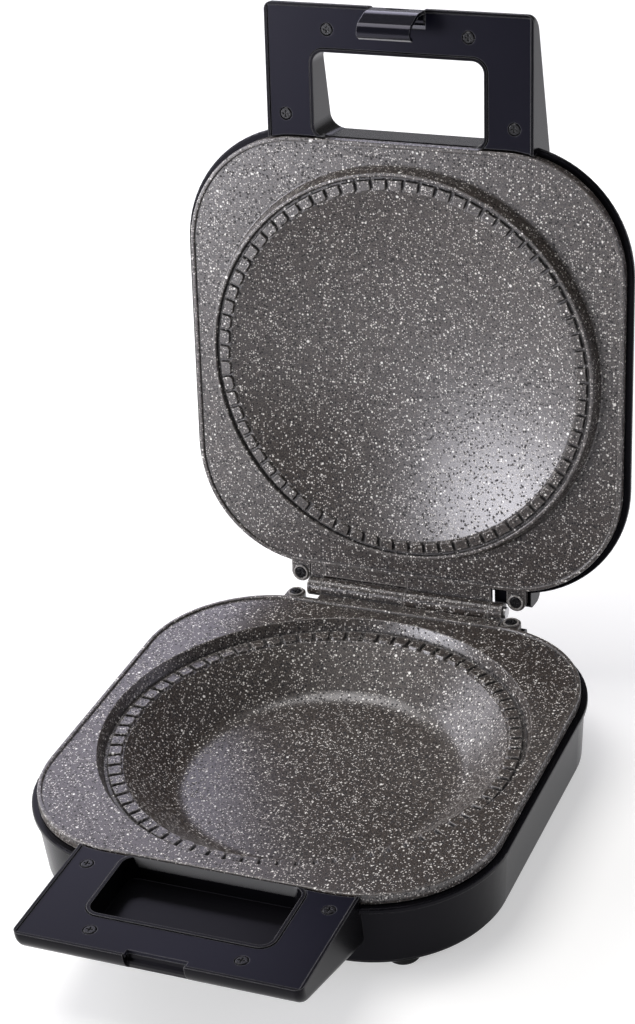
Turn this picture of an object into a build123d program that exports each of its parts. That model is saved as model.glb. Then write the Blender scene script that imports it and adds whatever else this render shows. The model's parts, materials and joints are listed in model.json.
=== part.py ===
from build123d import *
import os
from math import cos, radians, sin, sqrt, tan

# Countertop pie maker with a hinged lid, stored open.
#
# Every piece is first built with the lid closed, in the plates' own frame: z = 0 is the plane where
# the two halves meet, x runs along the hinge, y = 0 is the middle of the round pie well and -y is
# the side of the grips. The cooking plates, the grips and the ears have one form, once upright and
# once turned over, so the lower ones are built and the upper ones are turned about y. At the end the
# lid is swung open and everything is set on the surface that the feet stand on. Sizes are in mm.

# ---- cooking plates ----
plate_half = 118.0          # half width and half depth of the rounded square
plate_corner_r = 62.0
plate_edge_h = 5.3          # height of the side wall that shows above the casing
plate_edge_w = 4.2
plate_skin = 3.2
parting_gap = 0.4           # between the closed rims, and between the closed grips
rim_h = 1.0                 # raised rim round the flat
rim_w = 2.2
rim_round = 0.6

# ---- pie well, lid dome and crimping ring ----
groove_r = plate_half - 10.0    # where the flat drops into the ring
groove_draft = 2.6
groove_round = 0.8          # at the groove's edge and at its foot
ledge_drop = 6.8            # from the flat down to the ledge that carries the flutes
ledge_w = 9.6
well_wall_angle = 41.4
well_depth = 28.0           # from the flat down to the floor
well_floor_fillet = 14.0
flute_count = 72
lower_flute_length = 7.4
upper_flute_length = 6.0
flute_share = 0.88          # width of a flute's foot as a share of the pitch
flute_end_r = 2.0           # rounding of its inner end
flute_h = 1.6
flute_draft = 20.0
flute_edge = 0.4            # from the ledge's rim to the flutes
crest_in_groove = 3.9       # the lip that cuts the pastry closes this far inside the groove
crest_w = 1.6
crest_h = 7.1
crest_foot = 3.0            # how far the lip spreads at its foot
crest_round = 0.5
crest_moat = 1.2            # trough between the lip and the flutes
dome_ledge_h = 5.0
dome_rise = 13.8            # from the upper flat up to the middle of the dome
dome_crown_r = 330.0
dome_wall_run = 8.9         # how far in the dome's steep edge reaches
dome_fillet = 18.0

# ---- hinge ----
open_angle = 97.4           # the lid rests this far past closed
hinge_reach = 12.5          # from the plate's edge to the hinge axis
barrel_r = 5.0
barrel_length = 47.7        # each of the two long knuckles, from the middle outwards
end_knuckle = 7.7
knuckle_gap = 0.3
pin_r = 1.75
pin_clearance = 0.05
pin_head_r = 3.2
pin_head_t = 1.5
web_t = 3.4
web_gap = 0.8               # between a web's end and the other plate's barrel
stop_length = 6.2           # fin behind each barrel that the open lid comes to rest on
stop_t = 2.0
ear_gap = 0.9               # between an end knuckle and the ear beside it
ear_reach = 6.5
ear_r = 5.2
ear_ring_r = 4.2
ear_drop = 2.0              # from the closed rim down to an ear's face
ear_ring_h = 1.0

# ---- casings ----
wall = 2.4
casing_gap = 0.5            # dark gap under the plate's side wall
lip_out = 3.4               # how far the casing's lip stands out past the plate
lip_h = 3.0
lip_round = 0.8
casing_out = 1.8
base_bottom_in = 0.5        # the base wall leans in to this far inside the plate's edge
base_room = 6.1             # free height between the well and the bottom cover
lid_room = 13.4             # free height between the dome and the lid's top
lid_wall_taper = 20.0
lid_crown_r = 900.0
lid_edge_r = 13.0
lug_out = 7.0               # from an ear's middle to its lug's outer side
lug_gap = 0.6               # between the long knuckles' ends and the lugs' inner sides
lug_reach = 1.2             # and stop this far short of the hinge axis
lug_h = 16.0

# ---- bottom cover and feet ----
cover_t = 2.5
cover_gap = 0.2
cover_in = 1.5
foot_in = 20.0              # feet from the plate's front and rear edges
foot_side_in = 36.0
foot_r = 8.0
foot_h = 5.0
foot_stem_r = 3.0
post_in = 11.5
post_side_in = 58.0
post_r = 4.5

# ---- grips ----
grip_half_w = 71.0
grip_reach = 68.5           # from the plate's edge to the front of the grips
grip_corner_h = 9.97        # height of the front, before the nose is rounded
grip_slope = 15.1
grip_nose_r = 11.0
grip_knee_in = 6.0          # inside the plate's edge the outer side runs level into the casing
grip_root_in = 34.0
grip_corner_r = 4.0
grip_rim_w = 1.6
grip_plate_gap = 1.0        # round the plate's edge
grip_cover_t = 2.0
grip_cover_drop = 0.6       # the inset cover lies this far below the rim
seam = 0.2                  # fitting gap round inset covers, lenses and the like
hand_half_w = 45.3          # hand opening
hand_front_in = 24.2
hand_rear_out = 1.1
hand_corner_r = 6.0
hand_draft = 4.0
hand_bead_w = 1.8
hand_bead_h = 0.5
pocket_depth = 12.0
notch_half_w = 15.0
notch_depth = 5.0
catch_out = 0.9             # lip at the foot of the lower notch, which the latch hooks under
screw_front_side_in = 33.6  # grip screws, from the grip's side, front and the plate's edge
screw_front_in = 12.7
screw_rear_side_in = 10.1
screw_rear_out = 11.8

# ---- latch ----
latch_gap = 1.1             # each side, in the notch
latch_t = 1.8
latch_corners = [(5.3, 10.2), (1.8, 4.6), (1.8, -6.5), (5.9, -16.6), (10.2, -18.0), (12.2, -14.6)]
latch_bends = [6.0, 12.0, 4.0, 2.0]
latch_pivot_in = 5.5
latch_pivot_z = 4.6
latch_boss_r = 3.3
latch_swing_gap = 1.2
latch_pin_r = 1.25
thumb_rx = 6.5              # oval dent for the thumb
thumb_rz = 2.4
thumb_depth = 0.7
thumb_z = 2.0
spring_half_w = 4.0
spring_r = 2.2

# ---- screws ----
screw_head_r = 3.1
screw_head_h = 1.5
screw_shank_r = 1.5
screw_length = 9.0
screw_cross = 0.8
screw_post_r = 3.7
screw_recess_fit = 0.3      # round and below the heads in the covers
screw_clearance = 0.06

# ---- heating, control and wiring pieces ----
element_tube_r = 3.2
element_sweep = 318.0
element_leg = 9.0
element_pin = 5.0
element_fit = 0.1           # between the heater and what it lies in
channel_wall = 0.2
clamp_width = 9.0
clamp_t = 1.0
control_in = 32.0           # thermostat and fuse, from the plate's edges
thermostat_r = 8.5
thermostat_h = 9.0
fuse_r = 2.2
fuse_length = 13.0
terminal_size = (26.0, 11.0, 11.0)
terminal_x = -17.0
terminal_rear_in = 7.0
inlet_x = 30.0
inlet_up = 11.5             # above the casing's lower edge
inlet_sink = 1.0
inlet_bore_r = 3.6
inlet_flange_r = 7.0
inlet_flange_t = 2.0
inlet_neck_r = 5.4
inlet_bead = 2.0
lens_r = 3.0
lens_proud = 0.5
lens_length = 4.5
lens_x = 9.0
lens_in = 46.0
lamp_r = 2.2
lamp_length = 7.0

over = 1.0                  # cutting solids reach this far past what they cut

# ---- places and heights that follow from the sizes above ----
rim_top = -parting_gap / 2
flat_z = rim_top - rim_h
edge_bottom = rim_top - plate_edge_h
lip_top = edge_bottom - casing_gap
lip_bottom = lip_top - lip_h
well_mouth_r = groove_r - groove_draft - ledge_w
ledge_z = flat_z - ledge_drop
floor_z = flat_z - well_depth
base_bottom = floor_z - plate_skin - base_room
cover_top = base_bottom - cover_gap
cover_bottom = cover_top - cover_t
stand_z = cover_bottom - foot_h
crest_r = groove_r - crest_in_groove
crest_in_r = crest_r - crest_w
dome_ring_r = crest_in_r - crest_moat - upper_flute_length - flute_edge
dome_shoulder_r = dome_ring_r - dome_wall_run
lid_top = flat_z - dome_rise - plate_skin - lid_room - wall
lower_element_r = well_mouth_r + 6.0
upper_element_r = dome_ring_r + 5.5
hinge_y = plate_half + hinge_reach
hinge_pin_half = barrel_length + end_knuckle
ear_x = hinge_pin_half + ear_gap + ear_r
ear_y = plate_half + ear_reach
lug_in_x = barrel_length + lug_gap
lug_out_x = ear_x + lug_out
grip_front = plate_half + grip_reach
grip_knee = plate_half - grip_knee_in
grip_root = plate_half - grip_root_in
grip_top = rim_top
grip_cover_top = grip_top - grip_cover_drop
grip_cover_bottom = grip_cover_top - grip_cover_t
hand_front = grip_front - hand_front_in
hand_rear = plate_half + hand_rear_out
bead_top = grip_cover_top + hand_bead_h
screw_front = (grip_half_w - screw_front_side_in, screw_front_in - grip_front)
screw_rear = (grip_half_w - screw_rear_side_in, -plate_half - screw_rear_out)
latch_half_w = notch_half_w - latch_gap
latch_pivot_y = latch_pivot_in - grip_front
latch_line = [(depth - grip_front, z) for depth, z in latch_corners]
lower_notch_y = notch_depth - grip_front
upper_notch_y = latch_pivot_y + latch_boss_r + latch_swing_gap
foot_x = plate_half - foot_side_in
foot_y = plate_half - foot_in
post_x = plate_half - post_side_in
post_y = plate_half - post_in
lens_y = lens_in - plate_half
inlet_z = base_bottom + inlet_up
inlet_seat_y = plate_half - base_bottom_in - inlet_sink / 2
control_xy = plate_half - control_in

turn_over = Rot(0, 180, 0)
swing_open = Pos(0, hinge_y, 0) * Rot(-open_angle, 0, 0) * Pos(0, -hinge_y, 0)


def section(points, rounded=()):
    """Flat face with corners at `points`; `rounded` holds (corner number, radius) pairs."""
    face = make_face(Polyline(*points, close=True))
    for corner, radius in rounded:
        face = fillet(face.vertices().sort_by_distance(points[corner])[0], radius)
    return face


def turned(points, rounded=()):
    """Solid of revolution about z from (radius, height) corners."""
    return revolve(Plane.XZ * section(points, rounded), Axis.Z)


def along_x(points, half_width, rounded=()):
    """Prism along the hinge direction from (y, z) corners, centred on x = 0."""
    return extrude(Plane.YZ * section(points, rounded), half_width, both=True)


def outline(out, z):
    """The plates' rounded square at height z, moved outwards by `out`."""
    side = 2 * (plate_half + out)
    return Pos(0, 0, z) * RectangleRounded(side, side, plate_corner_r + out)


def slab(out, low, high):
    return extrude(outline(out, low), high - low)


def block(x0, x1, y0, y1, z0, z1):
    return Pos((x0 + x1) / 2, (y0 + y1) / 2, (z0 + z1) / 2) * Box(x1 - x0, y1 - y0, z1 - z0)


def rod(x, y, z0, z1, radius):
    """Upright cylinder."""
    return Pos(x, y, (z0 + z1) / 2) * Cylinder(radius, z1 - z0)


def axle(x0, x1, y, z, radius):
    """Cylinder along x."""
    return Pos((x0 + x1) / 2, y, z) * Rot(0, 90, 0) * Cylinder(radius, x1 - x0)


def both_sides(shape):
    return shape + mirror(shape, about=Plane.YZ)


# ---------------------------------------------------------------- hinge
def knuckle(x0, x1):
    """One bored knuckle with the web that joins it to the lower plate."""
    web = block(x0, x1, plate_half - rim_w, hinge_y, -barrel_r, -barrel_r + web_t)
    barrel = axle(x0, x1, hinge_y, 0, barrel_r) + web
    return barrel - axle(x0 - over, x1 + over, hinge_y, 0, pin_r + pin_clearance)


def hinge_half():
    """The lower plate's hinge: one long knuckle left of the middle, a short one at the right end.

    The upper plate has the same form turned over, so its knuckles fill the spaces left here.
    """
    half_gap = knuckle_gap / 2
    long_one = knuckle(-barrel_length + half_gap, -half_gap)
    short_one = knuckle(barrel_length + half_gap, hinge_pin_half)
    opposite_web = block(
        half_gap, barrel_length - half_gap, plate_half - rim_w, hinge_y - barrel_r - web_gap,
        -barrel_r, -barrel_r + web_t,
    )
    stop_top = barrel_r - 0.6
    fin = block(-barrel_length + half_gap, -half_gap, hinge_y, hinge_y + stop_length, stop_top - stop_t, stop_top)
    fin -= axle(-barrel_length, 0, hinge_y, 0, pin_r + pin_clearance)
    return long_one + fin + short_one + opposite_web


def ear():
    """Lug of the lower plate that is screwed to the casing, with a ring round the screw."""
    top = rim_top - ear_drop
    ring_top = top + ear_ring_h
    arm = block(ear_x - ear_r, ear_x + ear_r, plate_half - 2 * ear_r, ear_y, edge_bottom, top)
    arm += rod(ear_x, ear_y, edge_bottom, top, ear_r)
    arm += rod(ear_x, ear_y, top, ring_top, ear_ring_r)
    arm -= rod(ear_x, ear_y, ring_top - screw_head_h, ring_top + over, screw_head_r + seam)
    return arm - rod(ear_x, ear_y, edge_bottom - over, top + over, screw_shank_r + screw_clearance)


# ---------------------------------------------------------------- plates
def plate_blank():
    """Rim, flat, side wall, hinge and ears of one casting, before the ring is formed."""
    blank = slab(0, edge_bottom, rim_top)
    blank -= slab(-rim_w, flat_z, rim_top + over)
    blank -= slab(-plate_edge_w, edge_bottom - over, flat_z - plate_skin)
    blank = fillet(blank.edges().group_by(Axis.Z)[-1], rim_round)
    return blank + hinge_half() + both_sides(ear())


def flutes(inner, length, base_z):
    """Ring of tapered pads with rounded inner ends; the pastry is crimped between them."""
    half = flute_share * (inner + length / 2) * tan(radians(180 / flute_count))
    outer = inner + length
    face = section([(outer, -half), (outer, half), (inner, half), (inner, -half)],
                   [(2, flute_end_r), (3, flute_end_r)])
    pad = extrude(face, flute_h, taper=flute_draft)
    return [Pos(0, 0, base_z) * Rot(0, 0, 360 / flute_count * i) * pad for i in range(flute_count)]


def make_lower_plate():
    """Lower casting: flat, groove, fluted ledge and the deep pie well."""
    fall = tan(radians(well_wall_angle))
    floor_r = well_mouth_r - (ledge_z - floor_z) / fall
    groove_foot_r = groove_r - groove_draft
    spread = plate_skin / sin(radians(well_wall_angle))
    under_floor = floor_z - plate_skin
    under_ledge = ledge_z - plate_skin
    under_foot_r = well_mouth_r + spread - (ledge_z - under_floor) / fall
    under_mouth_r = well_mouth_r + spread - (ledge_z - under_ledge) / fall
    outer_r = groove_r + plate_skin
    shell = turned(
        [(0, under_floor), (under_foot_r, under_floor), (under_mouth_r, under_ledge),
         (outer_r - groove_draft, under_ledge), (outer_r, flat_z - plate_skin / 2), (0, flat_z - plate_skin / 2)],
        [(1, well_floor_fillet + plate_skin)],
    )
    well = turned(
        [(0, floor_z), (floor_r, floor_z), (well_mouth_r, ledge_z), (groove_foot_r, ledge_z),
         (groove_r, flat_z), (outer_r, flat_z), (outer_r, flat_z + over), (0, flat_z + over)],
        [(1, well_floor_fillet), (3, groove_round), (4, groove_round)],
    )
    return plate_blank() + shell - well + flutes(well_mouth_r + flute_edge, lower_flute_length, ledge_z)


def make_upper_plate():
    """Upper casting, built upside down like the lower one and then turned over."""
    crest_z = flat_z + crest_h
    pad_z = flat_z + dome_ledge_h
    back_z = flat_z - plate_skin
    dome_z = flat_z - dome_rise
    shoulder_z = dome_z + dome_shoulder_r ** 2 / (2 * dome_crown_r)
    crest_lean = crest_foot / 5
    foot = crest_r + crest_foot
    body = turned(
        [(0, back_z), (foot + crest_foot, back_z), (foot + crest_foot, flat_z), (foot, flat_z),
         (crest_r + crest_lean, crest_z), (crest_in_r + crest_lean, crest_z), (crest_in_r, pad_z), (0, pad_z)],
        [(3, 2 * crest_round), (4, crest_round), (5, crest_round)],
    )
    body += turned(
        [(0, dome_z - plate_skin), (dome_shoulder_r + plate_skin, shoulder_z - plate_skin),
         (dome_ring_r + 1.5 * plate_skin, flat_z - plate_skin / 2), (0, flat_z - plate_skin / 2)],
        [(1, dome_fillet)],
    )
    hollow = turned(
        [(0, pad_z + over), (0, dome_z), (dome_shoulder_r, shoulder_z), (dome_ring_r, pad_z),
         (dome_ring_r, pad_z + over)],
        [(2, dome_fillet)],
    )
    hollow &= Pos(0, 0, dome_z + dome_crown_r) * Sphere(dome_crown_r)
    reach = element_tube_r + element_fit + channel_wall
    channel = turned(
        [(upper_element_r - reach, back_z - plate_skin), (upper_element_r + reach, back_z - plate_skin),
         (upper_element_r + reach, pad_z - plate_skin), (upper_element_r - reach, pad_z - plate_skin)],
    )
    plate = plate_blank() + body - hollow - channel
    return turn_over * (plate + flutes(dome_ring_r + flute_edge, upper_flute_length, pad_z))


# ---------------------------------------------------------------- grips
def grip_profile(inset, top):
    """Side view of the lower grip: short front, rounded nose, underside falling to the casing."""
    slope = tan(radians(grip_slope))
    front = -grip_front + inset
    lift = inset / cos(radians(grip_slope)) - grip_corner_h
    knee_z = lift - slope * (grip_front - grip_knee)
    under = [(-grip_root, knee_z), (-grip_knee, knee_z), (front, lift - slope * inset)]
    return [(front, top), (-grip_root, top)] + under, [(3, 30.0), (4, grip_nose_r - 2.5 * inset)]


def hand_opening(grow, low, high, draft):
    """Rounded block through the hand opening, `grow` larger all round; it widens downwards by `draft`."""
    width = 2 * (hand_half_w + grow)
    depth = hand_front - hand_rear + 2 * grow
    middle = -(hand_front + hand_rear) / 2
    face = Pos(0, middle, high) * RectangleRounded(width, depth, hand_corner_r + grow)
    return extrude(face, low - high, taper=-draft)


def grip_screws():
    """Places of the four screws in a grip's cover."""
    return [(side * x, y) for x, y in (screw_front, screw_rear) for side in (-1, 1)]


def notch(rear, half_width):
    """Slot for the latch in the front of a grip."""
    return block(-half_width, half_width, -grip_front - over, rear, lid_top, over)


def grip_solid(notch_rear):
    """Outer form of the lower grip, with the notch for the latch in its front."""
    points, rounded = grip_profile(0, grip_top)
    solid = along_x(points, grip_half_w, rounded)
    solid = fillet(solid.edges().filter_by(Axis.Z).group_by(Axis.Y)[0], grip_corner_r)
    return solid - notch(notch_rear, notch_half_w)


def grip_cavity(notch_rear):
    """Hollow of the lower grip below its cover, with the screw posts left standing."""
    points, rounded = grip_profile(wall, grip_cover_bottom)
    hollow = along_x(points, grip_half_w - wall, rounded)
    hollow -= notch(notch_rear + wall, notch_half_w + wall)
    for x, y in grip_screws():
        hollow -= rod(x, y, lid_top, 0, screw_post_r)
    return hollow


def make_grip(notch_rear, tub, keep_out):
    """Hollow grip, open towards its cover; `tub` is the block round the hand opening."""
    half = grip_half_w - grip_rim_w
    recess = block(-half, half, -grip_front + grip_rim_w, -grip_root, grip_cover_bottom, over)
    grip = grip_solid(notch_rear) - (recess - tub)
    grip -= grip_cavity(notch_rear) - tub - keep_out
    return grip - slab(grip_plate_gap, lip_top, over)


def make_grip_cover(notch_rear):
    """Inset cover of the lower grip, cut to the plate's curved edge at its rear."""
    half = grip_half_w - grip_rim_w - seam
    front = -grip_front + grip_rim_w + seam
    cover = block(-half, half, front, -grip_root, grip_cover_bottom, grip_cover_top)
    cover -= notch(notch_rear, notch_half_w)
    cover -= slab(grip_plate_gap + seam, grip_cover_bottom, over)
    cover -= hand_opening(hand_bead_w + 2 * seam, grip_cover_bottom, over, 0)
    for x, y in grip_screws():
        seat = grip_cover_top - screw_head_h + screw_recess_fit
        cover -= rod(x, y, seat, over, screw_head_r + screw_recess_fit)
        cover -= rod(x, y, grip_cover_bottom - over, over, screw_shank_r + screw_clearance)
    return cover


def screw(x, y, top):
    """Pan-head screw with a cross recess, pointing down from `top`."""
    head = rod(x, y, top - screw_head_h, top, screw_head_r)
    head = chamfer(head.edges().group_by(Axis.Z)[-1], 0.5)
    for turn in (0, 90):
        head -= Pos(x, y, top) * Rot(0, 0, turn) * Box(3.4, screw_cross, 1.2)
    return head + rod(x, y, top - screw_head_h - screw_length, top - screw_head_h, screw_shank_r)


def screw_holes(places, top, length):
    """Pilot holes for screws whose heads are at `top`."""
    return [rod(x, y, top - screw_head_h - length - 0.5, top, screw_shank_r + screw_clearance) for x, y in places]


# ---------------------------------------------------------------- casings
def casing_lug():
    """Rounded lug at the rear of the base casing, under each ear of the plate."""
    front, rear = plate_half - 2 * wall, hinge_y - lug_reach
    half, middle = (lug_out_x - lug_in_x) / 2, (lug_out_x + lug_in_x) / 2
    points = [(front, lip_top), (rear, lip_top), (rear, lip_top - lug_h), (front, lip_top - lug_h)]
    lug = Pos(middle, 0, 0) * along_x(points, half, [(1, 3.0), (2, 6.0)])
    pilot = rod(ear_x, ear_y, lip_top - screw_length, lip_top + over, screw_shank_r + screw_clearance)
    return both_sides(lug - pilot)


def casing_lip():
    """Rounded band that runs round a casing just below the plate."""
    lip = slab(lip_out, lip_bottom, lip_top)
    return fillet(lip.edges().filter_by(Plane.XY), lip_round)


def base_wall_form(inset):
    """Leaning outer wall of the base as a solid, moved inwards by `inset`."""
    low, high = outline(-base_bottom_in - inset, base_bottom), outline(casing_out - inset, lip_bottom)
    return loft([low.face(), high.face()])


def base_posts():
    """Posts for the bottom cover's screws, each tied to the wall by a rib."""
    high = base_bottom + 2 * screw_length
    rib = block(post_x - wall / 2, post_x + wall / 2, post_y, plate_half, base_bottom, high)
    post = rod(post_x, post_y, base_bottom, high, post_r) + (rib & base_wall_form(wall / 2))
    post -= rod(post_x, post_y, base_bottom - over, base_bottom + screw_length, screw_shank_r + screw_clearance)
    pair = both_sides(post)
    return pair + mirror(pair, about=Plane.XZ)


def make_base_housing():
    """Base casing: wall, lip, rear lugs, grip with its hand pocket, and posts for the bottom screws."""
    inner = base_wall_form(wall) + slab(casing_out - wall, lip_bottom, over)
    tub = hand_opening(hand_bead_w, grip_top - pocket_depth - wall, bead_top, -hand_draft)
    grip = make_grip(lower_notch_y, tub, base_wall_form(0)) + catch_lip(lower_notch_y)
    housing = base_wall_form(0) + casing_lip() + casing_lug() + grip
    housing = housing - inner + base_posts()
    housing -= hand_opening(0, grip_top - pocket_depth, bead_top + over, -hand_draft)
    for hole in screw_holes(grip_screws(), grip_cover_top, screw_length):
        housing -= hole
    housing -= axle_y(inlet_x, inlet_z, plate_half - 4 * wall, inlet_seat_y + over, inlet_neck_r + seam)
    return housing - axle_y(inlet_x, inlet_z, inlet_seat_y, plate_half + wall, inlet_flange_r + seam)


def catch_lip(notch_rear):
    """Lip with a sloped top at the foot of the lower notch, which the latch's hook rides over."""
    foot = grip_under(notch_rear + 0.1)
    front = notch_rear - catch_out
    points = [(notch_rear + 0.1, foot + 6.0), (front, foot + 4.4), (front, foot + 2.7), (notch_rear + 0.1, foot)]
    return along_x(points, notch_half_w + 0.1)


def grip_under(y):
    """Height of the rounded nose's underside at y."""
    centre_y = -grip_front + grip_nose_r
    drop = grip_nose_r * tan(radians((90 - grip_slope) / 2))
    centre_z = -grip_corner_h + drop
    return centre_z - sqrt(grip_nose_r ** 2 - (y - centre_y) ** 2)


def axle_y(x, z, y0, y1, radius):
    """Cylinder along y."""
    return Pos(x, (y0 + y1) / 2, z) * Rot(90, 0, 0) * Cylinder(radius, y1 - y0)


def lid_form(inset):
    """Domed lid casing as a solid, built upside down: sloping sides, a crowned top and a round edge."""
    sides = extrude(outline(casing_out - inset, lip_bottom), lid_top + inset - lip_bottom, taper=lid_wall_taper)
    form = sides & Pos(0, 0, lid_top + inset + lid_crown_r) * Sphere(lid_crown_r)
    return fillet(form.faces().filter_by(GeomType.SPHERE).edges(), lid_edge_r - inset)


def lens_seat_z():
    """Height of the lid's crown where the two lenses sit, in the upside-down frame."""
    return lid_top + lid_crown_r - sqrt(lid_crown_r ** 2 - lens_x ** 2 - lens_y ** 2)


def lens_sockets():
    low = lens_seat_z() + over
    ring = rod(lens_x, lens_y, low, low + lens_length + lamp_length - 0.5, lens_r + 1.6)
    return both_sides(ring)


def make_lid_housing():
    """Lid casing: domed shell, lip, rear lugs, grip with its open hand hole, and lens sockets."""
    outer = lid_form(0)
    inner = lid_form(wall) + slab(casing_out - wall, lip_bottom, over)
    tub = hand_opening(hand_bead_w, lid_top, bead_top, hand_draft)
    shell = outer + casing_lip() + casing_lug()
    shell = shell + make_grip(upper_notch_y, tub, outer) - inner + lens_sockets()
    shell -= hand_opening(0, lid_top - 5, over, hand_draft)
    for hole in screw_holes(grip_screws(), grip_cover_top, screw_length):
        shell -= hole
    for x in (-lens_x, lens_x):
        shell -= rod(x, lens_y, lid_top - over, lens_seat_z() + 2 * lamp_length + lens_length, lens_r + seam)
    pin_reach = notch_half_w + wall - 0.2
    shell -= axle(-pin_reach, pin_reach, latch_pivot_y, -latch_pivot_z, latch_pin_r + pin_clearance)
    return turn_over * shell


# ---------------------------------------------------------------- bottom cover, feet and screws
def corners(x, y):
    return [(sx * x, sy * y) for sx in (-1, 1) for sy in (-1, 1)]


def make_bottom_cover():
    cover = slab(-base_bottom_in - cover_in, cover_bottom, cover_top)
    cover = chamfer(cover.edges().group_by(Axis.Z)[0], 0.8)
    for x, y in corners(foot_x, foot_y):
        cover -= rod(x, y, cover_bottom - over, cover_top + over, foot_stem_r + pin_clearance)
    for x, y in corners(post_x, post_y):
        cover -= rod(x, y, cover_bottom - over, cover_bottom + screw_head_h, screw_head_r + screw_recess_fit)
        cover -= rod(x, y, cover_bottom - over, cover_top + over, screw_shank_r + screw_clearance)
    return cover


def make_foot(x, y):
    """Rubber foot pushed into the bottom cover."""
    foot = rod(x, y, stand_z, cover_bottom, foot_r)
    foot = fillet(foot.edges().group_by(Axis.Z)[0], 1.5)
    return foot + rod(x, y, cover_bottom, cover_top + 2.0, foot_stem_r)


def make_bottom_screws():
    upright = turn_over * screw(0, 0, 0)
    return [Pos(x, y, cover_bottom) * upright for x, y in corners(post_x, post_y)]


# ---------------------------------------------------------------- heating, control and wiring
def make_element(radius, z):
    """Tubular heater bent into an open ring under a plate, with its two ends turned down."""
    gap = 360 - element_sweep
    ring = CenterArc((0, 0, 0), radius, 90 + gap / 2, element_sweep)
    tube = sweep(Plane(ring @ 0, z_dir=ring % 0) * Circle(element_tube_r), ring)
    for place in (ring @ 0, ring @ 1):
        tube += Pos(place.X, place.Y, 0) * Sphere(element_tube_r)
        tube += rod(place.X, place.Y, -element_leg, 0, element_tube_r)
        tube += rod(place.X, place.Y, -element_leg - element_pin, -element_leg, element_tube_r / 2)
    return Pos(0, 0, z) * tube


def make_clamps(radius, z, seat_z):
    """Four saddle straps that hold a heater ring against its plate."""
    reach = element_tube_r + element_fit
    high = 2 * (reach + clamp_t)
    strap = Circle(reach + clamp_t) - Circle(reach) - Pos(0, high / 2) * Rectangle(2 * high, high)
    strap = extrude(Plane.XZ * strap, clamp_width / 2, both=True)
    strap += block(reach, reach + clamp_t, -clamp_width / 2, clamp_width / 2, 0, reach)
    strap += block(-reach - clamp_t, -reach, -clamp_width / 2, clamp_width / 2, 0, reach)
    strap -= block(-high, high, -clamp_width, clamp_width, seat_z - z, high)
    return [Rot(0, 0, turn) * Pos(radius, 0, z) * strap for turn in (-15, 45, 135, 195, 270)]


def make_thermostat(x, y):
    """Round snap-disc thermostat on the underside of the lower plate, with two terminals."""
    seat = flat_z - plate_skin
    body = rod(x, y, seat - thermostat_h, seat, thermostat_r)
    body += rod(x, y, seat - 1.5, seat, thermostat_r + 1.5)
    for side in (-1, 1):
        body += block(x + side * 4 - 0.4, x + side * 4 + 0.4, y - 3, y + 3, seat - thermostat_h - 6, seat - thermostat_h)
    return body


def make_fuse(x, y):
    """Thermal fuse in its sleeve, lying against the underside of the lower plate."""
    z = flat_z - plate_skin - fuse_r
    fuse = axle(x - fuse_length / 2, x + fuse_length / 2, y, z, fuse_r)
    return fuse + axle(x - fuse_length / 2 - 6, x + fuse_length / 2 + 6, y, z, 0.6)


def make_terminal_block():
    """Three-way terminal block standing on the bottom cover, with its wire and screw holes."""
    length, depth, height = terminal_size
    x0, y0 = terminal_x - length / 2, plate_half - terminal_rear_in - depth
    body = block(x0, x0 + length, y0, y0 + depth, cover_top, cover_top + height)
    body = chamfer(body.edges().filter_by(Axis.X).group_by(Axis.Z)[-1], 2.0)
    pitch = length / 3
    for i in range(3):
        x = x0 + pitch * (i + 0.5)
        body -= axle_y(x, cover_top + 3.5, y0 - over, y0 + depth + over, 1.6)
        body -= rod(x, y0 + depth / 2, cover_top + 5, cover_top + height + over, 1.8)
    return body


def make_cord_inlet():
    """Rubber inlet in the rear wall: outer flange, neck, inner bead and the bore for a cord."""
    seat = inlet_seat_y
    inner = plate_half + casing_out - wall - inlet_bead
    ring = axle_y(inlet_x, inlet_z, seat, seat + inlet_flange_t, inlet_flange_r)
    ring = fillet(ring.edges().sort_by(Axis.Y)[-1], 0.8)
    ring += axle_y(inlet_x, inlet_z, inner - 2 * inlet_bead, seat, inlet_neck_r)
    ring += axle_y(inlet_x, inlet_z, inner - 2 * inlet_bead, inner - inlet_bead, inlet_neck_r + 1)
    return ring - axle_y(inlet_x, inlet_z, inner - 3 * inlet_bead, plate_half + wall, inlet_bore_r)


def make_lens(x):
    """Small round indicator lens, slightly proud of the lid's crown."""
    low = lens_seat_z() - lens_proud
    lens = rod(x, lens_y, low, low + lens_length, lens_r)
    return turn_over * fillet(lens.edges().group_by(Axis.Z)[0], 0.6)


def make_lamp(x):
    """Indicator lamp pushed into the socket behind its lens."""
    low = lens_seat_z() - lens_proud + lens_length + 0.3
    lamp = rod(x, lens_y, low, low + lamp_length, lamp_r) + rod(x, lens_y, low + lamp_length - 2, low + lamp_length, lens_r)
    return turn_over * lamp


# ---------------------------------------------------------------- hinge pin and latch
def make_hinge_pin():
    """Steel pin through all the knuckles, with a head at one end and a riveted end at the other."""
    half = hinge_pin_half + knuckle_gap
    pin = axle(-half, half, hinge_y, 0, pin_r)
    pin += axle(half, half + pin_head_t, hinge_y, 0, pin_head_r)
    return pin + axle(-half - 1.0, -half, hinge_y, 0, pin_r + 0.5)


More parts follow.
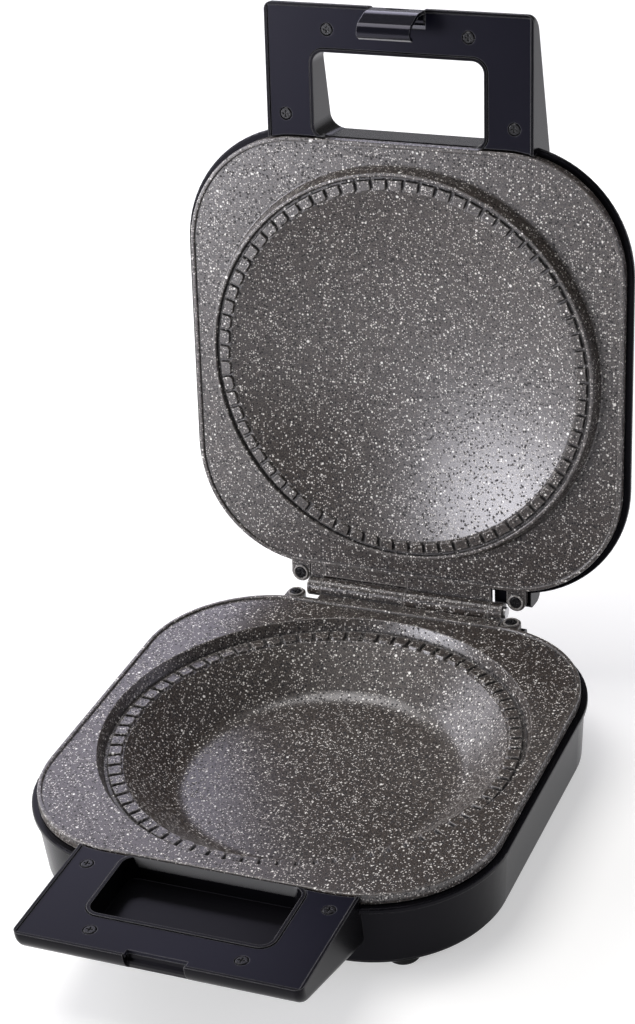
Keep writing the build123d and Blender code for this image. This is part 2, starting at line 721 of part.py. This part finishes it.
def make_latch():
    """Springy C-shaped latch: thumb end, pivot bosses and the hook that grips the lower nose."""
    line = FilletPolyline(*latch_line, radius=latch_bends)
    strip = make_face(offset(line, latch_t / 2, side=Side.BOTH))
    latch = extrude(Plane.YZ * strip, latch_half_w, both=True)
    bosses = axle(spring_half_w + 0.5, latch_half_w, latch_pivot_y, latch_pivot_z, latch_boss_r)
    latch += both_sides(bosses)
    latch -= axle(-notch_half_w, notch_half_w, latch_pivot_y, latch_pivot_z, latch_pin_r + pin_clearance)
    front = latch_line[1][0] - latch_t / 2
    dent = Pos(0, front + thumb_depth, thumb_z) * Rot(90, 0, 0) * Ellipse(thumb_rx, thumb_rz)
    return latch - extrude(dent, 2 * latch_t)


def make_latch_pin():
    reach = notch_half_w + wall - 0.4
    return axle(-reach, reach, latch_pivot_y, latch_pivot_z, latch_pin_r)


def make_latch_spring():
    """Torsion spring on the latch pin, drawn as its outer sleeve with two legs."""
    sleeve = axle(-spring_half_w, spring_half_w, latch_pivot_y, latch_pivot_z, spring_r)
    back = block(-4, -3, latch_pivot_y + 1.6, latch_pivot_y + latch_boss_r + 0.9, latch_pivot_z - 0.5, latch_pivot_z + 0.5)
    inner_face = latch_line[1][0] + latch_t / 2
    front = block(3, 4, inner_face + 0.5, inner_face + 1.4, latch_pivot_z - 6.5, latch_pivot_z)
    sleeve += back + front
    return sleeve - axle(-5, 5, latch_pivot_y, latch_pivot_z, latch_pin_r + pin_clearance)


# ---------------------------------------------------------------- assembly
def moved(place, shape):
    """`place` applied to one solid or to every solid of a list."""
    return [place * one for one in shape] if isinstance(shape, list) else place * shape


def grip_screw_set():
    return [screw(x, y, grip_cover_top + screw_recess_fit) for x, y in grip_screws()]


def ear_screw_set():
    return [screw(x, ear_y, rim_top - ear_drop + ear_ring_h) for x in (-ear_x, ear_x)]


def base_pieces():
    """Everything that stays put, in the closed frame."""
    seat = ledge_z - plate_skin
    element_z = seat - element_tube_r - element_fit
    pieces = {
        "base_housing": make_base_housing(),
        "lower_plate": make_lower_plate(),
        "lower_grip_cover": make_grip_cover(lower_notch_y),
        "lower_grip_screws": grip_screw_set(),
        "lower_ear_screws": ear_screw_set(),
        "bottom_cover": make_bottom_cover(),
        "bottom_cover_screws": make_bottom_screws(),
        "lower_heating_element": make_element(lower_element_r, element_z),
        "lower_element_clamps": make_clamps(lower_element_r, element_z, seat),
        "thermostat": make_thermostat(-control_xy, -control_xy),
        "thermal_fuse": make_fuse(control_xy, -control_xy),
        "terminal_block": make_terminal_block(),
        "cord_inlet_grommet": make_cord_inlet(),
        "hinge_pin": make_hinge_pin(),
    }
    names = ("foot_rear_left", "foot_front_left", "foot_rear_right", "foot_front_right")
    for name, (x, y) in zip(names, sorted(corners(foot_x, foot_y), key=lambda place: (place[0], -place[1]))):
        pieces[name] = make_foot(x, y)
    return pieces


def lid_pieces():
    """Everything that swings with the lid, in the closed frame."""
    seat = flat_z - plate_skin
    element_z = flat_z + dome_ledge_h - plate_skin - element_tube_r - element_fit
    return {
        "lid_housing": make_lid_housing(),
        "upper_plate": make_upper_plate(),
        "upper_grip_cover": turn_over * make_grip_cover(upper_notch_y),
        "upper_grip_screws": moved(turn_over, grip_screw_set()),
        "upper_ear_screws": moved(turn_over, ear_screw_set()),
        "upper_heating_element": turn_over * make_element(upper_element_r, element_z),
        "upper_element_clamps": moved(turn_over, make_clamps(upper_element_r, element_z, seat)),
        "power_lens": make_lens(-lens_x),
        "ready_lens": make_lens(lens_x),
        "indicator_lamps": [make_lamp(-lens_x), make_lamp(lens_x)],
        "latch": make_latch(),
        "latch_pin": make_latch_pin(),
        "latch_spring": make_latch_spring(),
    }


nodes = base_pieces()
nodes.update({name: moved(swing_open, shape) for name, shape in lid_pieces().items()})

# The origin goes to the middle of the footprint, at the height that the feet stand on.
rear = nodes["lid_housing"].bounding_box().max.Y
stand = Pos(0, (grip_front - rear) / 2, -stand_z)

os.makedirs("parts", exist_ok=True)
for name, shape in nodes.items():
    placed = moved(stand, shape)
    export_step(Compound(children=placed) if isinstance(placed, list) else placed, f"parts/{name}.step")

for label, point in (("hinge", (0, hinge_y, 0)), ("latch", (0, latch_pivot_y, latch_pivot_z))):
    at = stand.position + (Vector(*point) if label == "hinge" else (swing_open * Pos(*point)).position)
    print(label, round(at.X, 3), round(at.Y, 3), round(at.Z, 3))
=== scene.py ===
# %% [markdown]
# # A pie maker with its lid open
#
# This lesson dresses a finished CAD model of a countertop pie maker. The shapes come from the
# imported model; here they get materials, light and a camera, and two soft details that the solids
# lack. Every cell does one small thing, and most of them print what they made.

# %% Load the fixed frame
import bmesh
import bpy
import json
from math import cos, pi, radians, sin
from mathutils import Matrix, Vector


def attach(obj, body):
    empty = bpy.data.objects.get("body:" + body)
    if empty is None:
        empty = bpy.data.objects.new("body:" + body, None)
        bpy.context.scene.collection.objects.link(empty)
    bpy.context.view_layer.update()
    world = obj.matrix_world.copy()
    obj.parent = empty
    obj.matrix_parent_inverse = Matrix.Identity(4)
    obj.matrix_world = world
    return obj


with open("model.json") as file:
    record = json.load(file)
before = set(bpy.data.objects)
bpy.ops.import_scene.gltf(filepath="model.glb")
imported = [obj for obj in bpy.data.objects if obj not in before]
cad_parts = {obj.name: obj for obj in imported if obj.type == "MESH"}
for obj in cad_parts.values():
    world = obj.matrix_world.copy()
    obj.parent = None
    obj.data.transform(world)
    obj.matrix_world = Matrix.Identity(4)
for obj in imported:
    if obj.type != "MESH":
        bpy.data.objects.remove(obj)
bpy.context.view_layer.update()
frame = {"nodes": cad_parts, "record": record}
nodes = frame["nodes"]
MM = 0.001

# %% [markdown]
# ## Writing shader maths as ordinary formulas
#
# A procedural material is a graph, but most of it is arithmetic. The small class below wraps an
# output socket, so `0.3 + 2 * noise` builds the two Math nodes by itself. Everything that is not
# arithmetic goes through one method, `node`, which takes the node's type, its settings, and then
# its inputs.

# %% A socket that takes part in arithmetic
class Sock:
    """An output socket of a shader graph."""

    def __init__(self, graph, socket):
        self.graph, self.socket = graph, socket

    def beside(self, output):
        """Another output of the same node."""
        return Sock(self.graph, self.socket.node.outputs[output])

    def math(self, operation, *values):
        inputs = dict(enumerate(values))
        return self.graph.node("ShaderNodeMath", {"operation": operation}, inputs)

    def __add__(self, other):
        return self.math("ADD", self, other)

    def __radd__(self, other):
        return self.math("ADD", other, self)

    def __sub__(self, other):
        return self.math("SUBTRACT", self, other)

    def __rsub__(self, other):
        return self.math("SUBTRACT", other, self)

    def __mul__(self, other):
        return self.math("MULTIPLY", self, other)

    def __rmul__(self, other):
        return self.math("MULTIPLY", other, self)

    def __truediv__(self, other):
        return self.math("DIVIDE", self, other)

    def below(self, other):
        return self.math("LESS_THAN", self, other)

    def highest(self, other):
        return self.math("MAXIMUM", self, other)

    def ramp(self, low, high):
        """0 below `low`, 1 above `high`, and a smooth step between."""
        settings = {"interpolation_type": "SMOOTHSTEP"}
        return self.graph.node("ShaderNodeMapRange", settings, {0: self, 1: low, 2: high})


print("sockets can be added, subtracted, multiplied and divided")

# %% A graph that makes any node
class Graph:
    """The node graph of one material."""

    def __init__(self, name):
        self.material = bpy.data.materials.new(name)
        self.material.use_nodes = True
        self.tree = self.material.node_tree
        self.tree.nodes.clear()

    def node(self, kind, settings=None, inputs=None, output=0):
        made = self.tree.nodes.new(kind)
        for key, value in (settings or {}).items():
            setattr(made, key, value)
        for key, value in (inputs or {}).items():
            if isinstance(value, Sock):
                self.tree.links.new(value.socket, made.inputs[key])
            else:
                made.inputs[key].default_value = value
        return None if output is None else Sock(self, made.outputs[output])

    def place(self):
        """Position on the piece, in metres."""
        return self.node("ShaderNodeTexCoord", output="Object")

    def noise(self, scale, detail, roughness=0.5):
        inputs = {"Vector": self.place(), "Scale": scale, "Detail": detail, "Roughness": roughness}
        return self.node("ShaderNodeTexNoise", inputs=inputs)

    def mix(self, factor, first, second):
        """Blend of two colours."""
        inputs = {"Factor": factor, 6: first, 7: second}
        return self.node("ShaderNodeMix", {"data_type": "RGBA"}, inputs, output=2)

    def bump(self, height, distance, strength, edge):
        """Normal pushed by `height`, on a mesh whose corners are rounded by the radius `edge`."""
        rounded = self.node("ShaderNodeBevel", {"samples": 6}, {"Radius": edge})
        inputs = {"Height": height, "Distance": distance, "Strength": strength, "Normal": rounded}
        return self.node("ShaderNodeBump", inputs=inputs)

    def finish(self, **values):
        """Principled surface; keyword names are the socket names with underscores."""
        inputs = {key.replace("_", " "): value for key, value in values.items()}
        surface = self.node("ShaderNodeBsdfPrincipled", inputs=inputs)
        self.node("ShaderNodeOutputMaterial", inputs={"Surface": surface}, output=None)
        return self.material


def colour(red, green, blue):
    return (red, green, blue, 1.0)


print("shader helpers ready")

# %% [markdown]
# ## Painted highlights on outer edges and painted shade in narrow places
#
# On the real pieces the outer edges catch the light as thin pale lines, and narrow places such
# as the foot of a groove lie in deep shade and look nearly black. Here both are painted into the
# colour: a painted highlight along the outer edges and painted shade in the narrow places. Both
# could be painted by hand on unwrapped pieces. The Ambient Occlusion node finds the places without
# a hand-made map: set to look inside the material it finds the thin places at a corner, and set to
# look outside it finds the places that are closed in.

# %% Masks for the painted highlight and the painted shade
def near_share(graph, reach, inside):
    """How much of the way stays free within `reach` metres, inside or outside the material."""
    settings = {"inside": inside, "samples": 6, "only_local": True}
    return graph.node("ShaderNodeAmbientOcclusion", settings, {"Distance": reach}, output="AO")


def painted_highlight(graph, reach):
    """Painted-highlight mask: 0 on open faces, towards 1 within `reach` metres of an outer corner."""
    return (1.0 - near_share(graph, reach, True)).ramp(0.22, 0.60)


def painted_shade(graph, reach):
    """Painted-shade mask: 0 on open faces, towards 1 down in narrow places of the same piece."""
    return (1.0 - near_share(graph, reach, False)).ramp(0.10, 0.70)


print("masks ready")

# %% [markdown]
# ## The speckled stone coating
#
# The plates are cast aluminium with a sprayed non-stick coat: a dark warm grey with a fine pale
# grain, small black pits, and splashes of a nearly white second coat in three sizes. A picture of
# such a coat would show its seams and its pixels, so the specks come from Voronoi cells. Each cell
# draws one dot around its point, and the cell's own random colour decides whether the dot exists
# and how big it is.

# %% Round specks at random
def dots(graph, cell, share, radius, spread=0.6):
    """Dots on a spacing of `cell` metres: `share` of the cells have one, `radius` is in cells."""
    settings = {"voronoi_dimensions": "3D", "feature": "F1"}
    inputs = {"Vector": graph.place(), "Scale": 1.0 / cell, "Randomness": 1.0}
    distance = graph.node("ShaderNodeTexVoronoi", settings, inputs, output="Distance")
    chance = graph.node("ShaderNodeSeparateColor", inputs={"Color": distance.beside("Color")})
    size = radius * (1.0 - spread * chance.beside("Green"))
    return chance.below(share) * (1.0 - (distance / size).ramp(0.75, 1.1))


print("specks ready")

# %% Coating for the two cooking plates
def stone_coating():
    graph = Graph("stone_coating")
    cloud = graph.noise(16.0, 3.0)
    grain = graph.noise(1800.0, 1.0)
    pit = dots(graph, cell=1.6 * MM, share=0.85, radius=0.45)
    fine = dots(graph, cell=1.0 * MM, share=0.38, radius=0.46, spread=0.3)
    splash = dots(graph, cell=2.4 * MM, share=0.48, radius=0.27)
    blob = dots(graph, cell=8.0 * MM, share=0.42, radius=0.120, spread=0.4)
    # Mask for the painted shade in narrow places; the coat is also made rougher there.
    hollow_shade = painted_shade(graph, 7.0 * MM)
    tint = graph.mix(cloud.ramp(0.35, 0.65), colour(0.009, 0.005, 0.004), colour(0.014, 0.010, 0.008))
    layers = [
        (grain.ramp(0.46, 0.58), colour(0.080, 0.065, 0.055)),
        (pit * 0.95, colour(0.003, 0.002, 0.002)),
        (fine * 0.85, colour(0.66, 0.63, 0.60)),
        # Painted shade: near-black colour in the narrow places and at the foot of grooves, at two reaches.
        (hollow_shade * 0.75, colour(0.006, 0.005, 0.005)),
        (painted_shade(graph, 2.2 * MM), colour(0.003, 0.002, 0.002)),
        # Painted highlight: pale colour along the outer edges of the coat.
        (painted_highlight(graph, 1.6 * MM) * 0.60, colour(0.42, 0.40, 0.38)),
        (splash, colour(0.86, 0.84, 0.80)),
        (blob, colour(0.93, 0.91, 0.88)),
    ]
    for cover, layer_tint in layers:
        tint = graph.mix(cover, tint, layer_tint)
    relief = 0.5 * grain + 0.4 * fine + 0.6 * splash + 0.8 * blob - 0.5 * pit
    return graph.finish(
        Base_Color=tint,
        Roughness=0.28 + 0.06 * grain + 0.55 * pit + 0.15 * fine + 0.35 * hollow_shade,
        Specular_IOR_Level=0.68,
        Specular_Tint=colour(0.96, 0.955, 1.0),
        IOR=1.65,
        Normal=graph.bump(relief, distance=0.10 * MM, strength=0.4, edge=0.6 * MM),
    )


finishes = {"stone_coating": stone_coating()}
print("coating ready")

# %% [markdown]
# ## Black plastics, rubber and lenses
#
# Moulded black plastic is never one flat black. A fine spark-eroded grain breaks up its reflection,
# slow changes in gloss show where the melt flowed, and a painted highlight makes the outer edges a
# little paler. The inset covers are bluer than the casings, the latch is polished, and all of them
# reflect with a breath of lilac. One recipe with a few values makes all the mouldings, down to the
# feet and the lenses, because they differ only in colour, gloss and grain.

# %% Mouldings
WHITE = colour(1.0, 1.0, 1.0)
LILAC = colour(0.84, 0.82, 1.0)


def moulded(name, low, high, roughness, grain, relief=0.02 * MM, shine=0.5, sheen=WHITE, edge_highlight=0.5):
    """Plastic between the colours `low` and `high`, with a grain of that size and relief, and a painted
    highlight on its outer edges.
    """
    graph = Graph(name)
    # Pale colour of the painted highlight on the outer edges.
    highlight_colour = colour(*(min(1.0, 0.16 + 2.0 * value) for value in high[:3]))
    flow = graph.noise(9.0, 2.0)
    tooth = graph.noise(1.0 / grain, 1.0)
    body = graph.mix(flow.ramp(0.3, 0.7), low, high)
    finishes[name] = graph.finish(
        # Painted highlight: the outer edges blend towards the pale colour, by the share passed for the edge
        # highlight.
        Base_Color=graph.mix(painted_highlight(graph, 0.7 * MM) * edge_highlight, body, highlight_colour),
        Roughness=roughness + 0.06 * flow + 0.05 * tooth,
        Specular_IOR_Level=shine,
        Specular_Tint=sheen,
        Normal=graph.bump(tooth, distance=relief, strength=0.15, edge=0.6 * MM),
    )


# The last value given to a moulding is the share of its painted edge highlight.
moulded("black_casing", colour(0.0020, 0.0020, 0.0026), colour(0.0036, 0.0034, 0.0046),
        roughness=0.18, grain=0.5 * MM, shine=0.11, sheen=LILAC, edge_highlight=0.8)
moulded("grip_cover", colour(0.0030, 0.0030, 0.0070), colour(0.0050, 0.0050, 0.0115),
        roughness=0.24, grain=0.4 * MM, shine=0.13, sheen=LILAC, edge_highlight=0.8)
moulded("black_gloss", colour(0.003, 0.003, 0.005), colour(0.005, 0.005, 0.009),
        roughness=0.10, grain=1.0 * MM, relief=0.01 * MM, shine=0.4, sheen=LILAC)
moulded("rubber", colour(0.010, 0.010, 0.010), colour(0.018, 0.018, 0.017),
        roughness=0.70, grain=0.6 * MM, relief=0.10 * MM, shine=0.3)
moulded("terminal_white", colour(0.70, 0.68, 0.63), colour(0.78, 0.76, 0.71),
        roughness=0.45, grain=0.8 * MM, relief=0.04 * MM)
moulded("lens_red", colour(0.30, 0.012, 0.010), colour(0.42, 0.020, 0.015), roughness=0.12, grain=1.0 * MM)
moulded("lens_green", colour(0.012, 0.20, 0.030), colour(0.020, 0.30, 0.045), roughness=0.12, grain=1.0 * MM)
moulded("lamp_glass", colour(0.55, 0.52, 0.50), colour(0.68, 0.66, 0.62), roughness=0.10, grain=1.0 * MM)
print("mouldings ready:", ", ".join(finishes))

# %% [markdown]
# ## Steel
#
# The screws are blackened, the hinge pin is bright, and the heaters wear a sheath that has seen
# heat. A rolled or drawn surface has streaks of many sizes at once, which a noise with several
# octaves gives without a picture. The blackened screws count as half a metal, because the black
# layer on them is an oxide.

# %% Metals
def metal(name, low, high, roughness, streaks, metallic=1.0):
    """Metal between the colours `low` and `high`, with `streaks` to the metre, and a painted highlight on
    its outer edges.
    """
    graph = Graph(name)
    # Pale colour of the painted highlight on the outer edges.
    highlight_colour = colour(*(min(1.0, 0.18 + 1.3 * value) for value in high[:3]))
    streak = graph.noise(streaks, 4.0, 0.6)
    body = graph.mix(streak.ramp(0.3, 0.7), low, high)
    finishes[name] = graph.finish(
        # Painted highlight: 0.35 of the way to the pale colour along the outer edges.
        Base_Color=graph.mix(painted_highlight(graph, 0.3 * MM) * 0.35, body, highlight_colour),
        Metallic=metallic,
        Roughness=roughness + 0.1 * streak,
        Normal=graph.bump(streak, distance=0.04 * MM, strength=0.4, edge=0.3 * MM),
    )


metal("black_steel", colour(0.008, 0.008, 0.010), colour(0.020, 0.020, 0.023), 0.22, 900.0, metallic=0.5)
metal("bright_steel", colour(0.42, 0.42, 0.43), colour(0.60, 0.60, 0.61), 0.28, 700.0)
metal("heater_sheath", colour(0.20, 0.17, 0.15), colour(0.34, 0.31, 0.29), 0.42, 400.0)
print("finishes:", ", ".join(finishes))

# %% [markdown]
# ## Every piece gets its finish
#
# The CAD record says for each solid which finish it wears. The slots of the pieces are already
# there, so nothing is added to a mesh: each slot only gets the material of that name.

# %% Into the slots
slot_of = {part["node"]: part["material_slot"] for part in frame["record"]["subparts"]}
for name, piece in nodes.items():
    for material_slot in piece.material_slots:
        material_slot.material = finishes[slot_of[name]]
print("dressed:", len(nodes), "pieces")

# %% [markdown]
# ## The bowl of the lid's plate
#
# On the real lid the middle of the plate is one even bowl, pressed like a watch glass, that starts
# right at the fluted ring. The solid model has a shallow cone with a rounded edge there. A bowl is
# easy to make by hand: it is a cap of a sphere, so each ring of points only needs its depth worked
# out from its radius. It lies just over the solid and rides on the lid.

# %% The lid plate's own place
HINGE_Y, HINGE_Z = 130.5 * MM, 46.2 * MM
CENTRE_SHIFT = -2.396 * MM
OPEN_ANGLE = radians(97.4)


def on_open_lid(x, y, z):
    """From the lid plate's own place, with z out of its cooking face, to the frame."""
    away, down = y - HINGE_Y, -z
    turned_y = away * cos(OPEN_ANGLE) + down * sin(OPEN_ANGLE)
    turned_z = -away * sin(OPEN_ANGLE) + down * cos(OPEN_ANGLE)
    return Vector((-x, turned_y + HINGE_Y + CENTRE_SHIFT, turned_z + HINGE_Z))


print("middle of the lid's plate:", tuple(round(value, 4) for value in on_open_lid(0, 0, 0)))

# %% Cap of a sphere
def sphere_cap(name, finish, reach, ball_r, middle_z, rings, around):
    """A cap of a sphere, `reach` in radius, whose lowest point lies at `middle_z`."""
    cap = bmesh.new()
    rows = [[cap.verts.new(on_open_lid(0, 0, middle_z))]]
    for step in range(1, rings + 1):
        radius = reach * step / rings
        level = middle_z + ball_r - (ball_r ** 2 - radius ** 2) ** 0.5
        turns = [2 * pi * k / around for k in range(around)]
        rows.append([cap.verts.new(on_open_lid(radius * cos(turn), radius * sin(turn), level))
                     for turn in turns])
    for k in range(around):
        after = (k + 1) % around
        cap.faces.new((rows[0][0], rows[1][k], rows[1][after]))
        for inner, outer in zip(rows[1:], rows[2:]):
            cap.faces.new((inner[k], outer[k], outer[after], inner[after]))
    for face in cap.faces:
        face.smooth = True
    mesh = bpy.data.meshes.new(name)
    cap.to_mesh(mesh)
    cap.free()
    mesh.materials.append(finishes[finish])
    piece = bpy.data.objects.new(name, mesh)
    bpy.context.scene.collection.objects.link(piece)
    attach(piece, "lid")
    return piece


print("caps ready")

# %% Bowl
RING_R = 94.9 * MM
RIM_Z = 3.8 * MM
BOWL_DEPTH = 16.2 * MM
bowl_ball_r = (RING_R ** 2 + BOWL_DEPTH ** 2) / (2 * BOWL_DEPTH)
lid_bowl = sphere_cap("lid_bowl", "stone_coating", RING_R, bowl_ball_r, RIM_Z - BOWL_DEPTH, 40, 180)
print("bowl:", len(lid_bowl.data.polygons), "faces, ball radius", round(bowl_ball_r, 4))

# %% [markdown]
# ## The crown of the lid
#
# The back of the lid is a very flat dome. The solid's mesh draws it as a fan of long triangles that
# meet in one point, and the light shows that point as a small dent. A fine cap of the same sphere,
# a few hundredths of a millimetre proud, carries clean normals over that spot.

# %% Crown
CROWN_BALL_R = 900.0 * MM
CROWN_TOP = -34.00 * MM
PROUD = 0.04 * MM
CROWN_REACH = 22.0 * MM
lid_crown = sphere_cap("lid_crown", "black_casing", CROWN_REACH, CROWN_BALL_R, CROWN_TOP - PROUD, 12, 96)
print("crown:", len(lid_crown.data.polygons), "faces")

# %% [markdown]
# ## Floor
#
# The object stands on a plain pale sweep, as in a catalogue. A floor that is bright enough to be
# white would throw too much light back under the object, so it glows a little, and only for rays
# that come from the camera or off a gloss. Soft light sees plain paint, and the shadow stays.

# %% Floor
def clear_view(graph):
    """1 for rays from the camera and for rays that gloss or glass sends on, 0 for soft light."""
    camera_ray = graph.node("ShaderNodeLightPath", output="Is Camera Ray")
    glossy, through = camera_ray.beside("Is Glossy Ray"), camera_ray.beside("Is Transmission Ray")
    return camera_ray.highest(glossy).highest(through)


def plain_floor():
    graph = Graph("floor")
    tooth = graph.noise(40.0, 2.0)
    return graph.finish(
        Base_Color=graph.mix(tooth, colour(0.715, 0.715, 0.715), colour(0.725, 0.725, 0.725)),
        Roughness=0.9,
        Specular_IOR_Level=0.0,
        Emission_Color=WHITE,
        Emission_Strength=clear_view(graph) * 0.47,
    )


FLOOR_HALF = 12.0
floor_corners = [(-FLOOR_HALF, -FLOOR_HALF, 0), (FLOOR_HALF, -FLOOR_HALF, 0),
                 (FLOOR_HALF, FLOOR_HALF, 0), (-FLOOR_HALF, FLOOR_HALF, 0)]
mesh = bpy.data.meshes.new("floor")
mesh.from_pydata(floor_corners, [], [(0, 1, 2, 3)])
mesh.materials.append(plain_floor())
floor = bpy.data.objects.new("floor", mesh)
bpy.context.scene.collection.objects.link(floor)
print("floor:", 2 * FLOOR_HALF, "m wide")

# %% [markdown]
# ## Light
#
# Two big soft lights on the left make the long sheen on the bowl and on the slope of the well: a
# low one in front for the lid, and one beside the object for its left flank. A cool one behind on
# the left is mirrored in the flat strips of the lower plate, one above models the well, and a weak
# one on the right draws the pale edges on the black plastic. Area lights fit, because a studio
# lights such glossy pieces with large white boxes. An even, weak surrounding fills the shadows.

# %% Lights
def soft_light(name, place, aim, size, watts, tint):
    data = bpy.data.lights.new(name, "AREA")
    data.shape = "RECTANGLE"
    data.size, data.size_y = size
    data.energy = watts
    data.color = tint
    light = bpy.data.objects.new(name, data)
    light.location = place
    light.rotation_euler = (Vector(aim) - Vector(place)).to_track_quat("-Z", "Y").to_euler()
    bpy.context.scene.collection.objects.link(light)


MIDDLE = (0.0, 0.05, 0.12)
LID = (0.0, 0.14, 0.18)
soft_light("left_window", (-1.55, 0.45, 0.70), MIDDLE, size=(1.3, 1.0), watts=12.0, tint=(0.96, 0.95, 1.0))
soft_light("left_front", (-1.18, -1.10, 0.40), LID, size=(1.0, 0.60), watts=23.0, tint=(0.97, 0.965, 1.0))
soft_light("back_left", (-1.15, 1.8, 1.15), MIDDLE, size=(2.0, 1.1), watts=15.0, tint=(0.84, 0.82, 1.0))
soft_light("top", (-0.6, 0.1, 2.0), MIDDLE, size=(1.4, 1.4), watts=26.0, tint=(1.0, 0.98, 0.95))
soft_light("right_edge", (1.7, 0.9, 0.55), MIDDLE, size=(0.9, 0.8), watts=7.0, tint=(0.86, 0.84, 1.0))

# %% Surroundings
world = bpy.data.worlds.new("surroundings")
world.use_nodes = True
sky = world.node_tree.nodes["Background"].inputs
sky["Color"].default_value = colour(1.0, 0.99, 0.985)
sky["Strength"].default_value = 0.16
bpy.context.scene.world = world
bpy.context.scene.view_settings.view_transform = "Standard"
print("surroundings:", round(sky["Strength"].default_value, 2))

# %% [markdown]
# ## Camera
#
# The camera stands to the right of the front and looks down on the plates, from about a metre away
# and tilted by a few degrees. It could be placed by eye. Here it is worked out from the two angles,
# the tilt and the distance, because each of them can then be set without disturbing the others.

# %% Camera
azimuth, height, roll = radians(24.757), radians(29.035), radians(-5.0926)
target = Vector((0.08710, -0.163386, 0.27099))
distance = 1.02118
back = Vector((sin(azimuth) * cos(height), -cos(azimuth) * cos(height), sin(height)))
right = (-back).cross(Vector((0, 0, 1))).normalized()
up = right.cross(-back)
turned_right = cos(roll) * right + sin(roll) * up
turned_up = cos(roll) * up - sin(roll) * right
camera_data = bpy.data.cameras.new("camera")
camera_data.sensor_width = 36.0
camera_data.lens = 91.39
camera = bpy.data.objects.new("camera", camera_data)
axes = Matrix((turned_right, turned_up, back)).transposed()
camera.matrix_world = Matrix.Translation(target + distance * back) @ axes.to_4x4()
bpy.context.scene.collection.objects.link(camera)
bpy.context.scene.camera = camera
print("camera at", tuple(round(value, 3) for value in camera.location))
